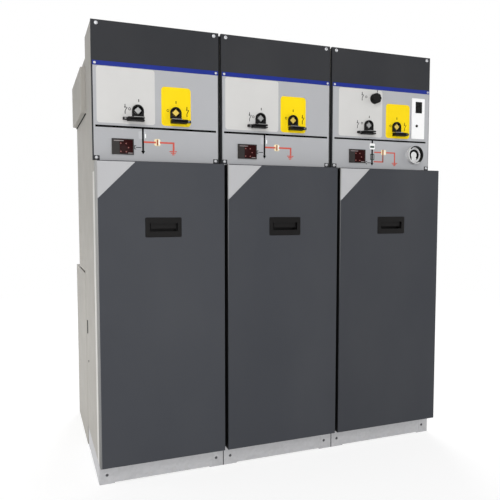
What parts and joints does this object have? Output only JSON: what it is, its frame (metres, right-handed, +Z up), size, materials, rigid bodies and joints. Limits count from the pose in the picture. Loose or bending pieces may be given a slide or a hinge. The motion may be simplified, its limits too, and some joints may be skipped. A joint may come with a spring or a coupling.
{
  "type": "fully insulated medium voltage switchgear",
  "caption": "Row of floor-standing insulated switchgear cubicles with dark covers, mimic panels, drive shafts and removable cable compartment covers.",
  "frame": {"origin": "on the floor, under the middle of the row's length and depth", "axes": "+X along the row to the right as seen from the front, +Y from the front to the back, +Z up"},
  "size_m": [1.55, 0.931, 1.74],
  "materials": {
    "dark_paint": "satin",
    "panel_paint": "satin",
    "mimic_grey": "satin",
    "blue_strip": "gloss",
    "galvanized_steel": "galvanized",
    "black_plastic": "matte",
    "indicator_black": "gloss",
    "shaft_steel": "turned",
    "white_plate": "satin",
    "gauge_white": "satin",
    "yellow_film": "satin",
    "red_film": "satin",
    "bushing_resin": "cast resin",
    "copper": "bare copper"
  },
  "bodies": {
    "cubicles": {"plinth_1": "galvanized_steel", "mechanism_box_1": "panel_paint", "front_cover_1": "dark_paint", "mimic_panel_1": "mimic_grey", "plinth_2": "galvanized_steel", "mechanism_box_2": "panel_paint", "front_cover_2": "dark_paint", "mimic_panel_2": "mimic_grey", "plinth_3": "galvanized_steel", "mechanism_box_3": "panel_paint", "front_cover_3": "dark_paint", "mimic_panel_3": "mimic_grey", "side_panel_left": "panel_paint", "side_panel_right": "panel_paint", "corner_posts": "galvanized_steel", "inner_walls": "galvanized_steel", "tanks": "panel_paint", "rear_ducts": "panel_paint", "end_cover_left": "panel_paint", "end_cover_right": "panel_paint", "colour_strips": "blue_strip", "drive_bezels": "black_plastic", "lock_bars": "black_plastic", "voltage_indicators": "indicator_black", "control_plate": "white_plate", "control_screen": "black_plastic", "gauge_collar": "gauge_white", "gauge_dial": "gauge_white", "bushings": "bushing_resin", "cable_rails": "galvanized_steel", "earth_bar": "copper"},
    "cable_cover_body_1": {"cable_cover_1": "dark_paint", "recessed_pull_1": "black_plastic"},
    "line_shaft_body_1": {"line_shaft_1": "shaft_steel"},
    "earth_shaft_body_1": {"earth_shaft_1": "shaft_steel"},
    "cable_cover_body_2": {"cable_cover_2": "dark_paint", "recessed_pull_2": "black_plastic"},
    "line_shaft_body_2": {"line_shaft_2": "shaft_steel"},
    "earth_shaft_body_2": {"earth_shaft_2": "shaft_steel"},
    "cable_cover_body_3": {"cable_cover_3": "dark_paint", "recessed_pull_3": "black_plastic"},
    "line_shaft_body_3": {"line_shaft_3": "shaft_steel"},
    "earth_shaft_body_3": {"earth_shaft_3": "shaft_steel"},
    "selector_knob_body": {"selector_knob": "black_plastic"}
  },
  "joints": [
    {"name": "cable_cover_1_pull_off", "type": "slide", "parent": "cubicles", "child": "cable_cover_body_1", "axis": [0, -1, 0], "range_m": [0, 0.3]},
    {"name": "line_shaft_1_turn", "type": "hinge", "parent": "cubicles", "child": "line_shaft_body_1", "pos_m": [-0.587, -0.3845, 1.418], "axis": [0, 1, 0], "range_deg": [0, 90]},
    {"name": "earth_shaft_1_turn", "type": "hinge", "parent": "cubicles", "child": "earth_shaft_body_1", "pos_m": [-0.441, -0.3845, 1.418], "axis": [0, 1, 0], "range_deg": [0, 90]},
    {"name": "cable_cover_2_pull_off", "type": "slide", "parent": "cubicles", "child": "cable_cover_body_2", "axis": [0, -1, 0], "range_m": [0, 0.3]},
    {"name": "line_shaft_2_turn", "type": "hinge", "parent": "cubicles", "child": "line_shaft_body_2", "pos_m": [-0.087, -0.3845, 1.418], "axis": [0, 1, 0], "range_deg": [0, 90]},
    {"name": "earth_shaft_2_turn", "type": "hinge", "parent": "cubicles", "child": "earth_shaft_body_2", "pos_m": [0.059, -0.3845, 1.418], "axis": [0, 1, 0], "range_deg": [0, 90]},
    {"name": "cable_cover_3_pull_off", "type": "slide", "parent": "cubicles", "child": "cable_cover_body_3", "axis": [0, -1, 0], "range_m": [0, 0.3]},
    {"name": "line_shaft_3_turn", "type": "hinge", "parent": "cubicles", "child": "line_shaft_body_3", "pos_m": [0.428, -0.3845, 1.418], "axis": [0, 1, 0], "range_deg": [0, 90]},
    {"name": "earth_shaft_3_turn", "type": "hinge", "parent": "cubicles", "child": "earth_shaft_body_3", "pos_m": [0.574, -0.3845, 1.418], "axis": [0, 1, 0], "range_deg": [0, 90]},
    {"name": "selector_knob_turn", "type": "hinge", "parent": "cubicles", "child": "selector_knob_body", "pos_m": [0.457, -0.3845, 1.535], "axis": [0, 1, 0], "range_deg": [0, 90]}
  ]
}
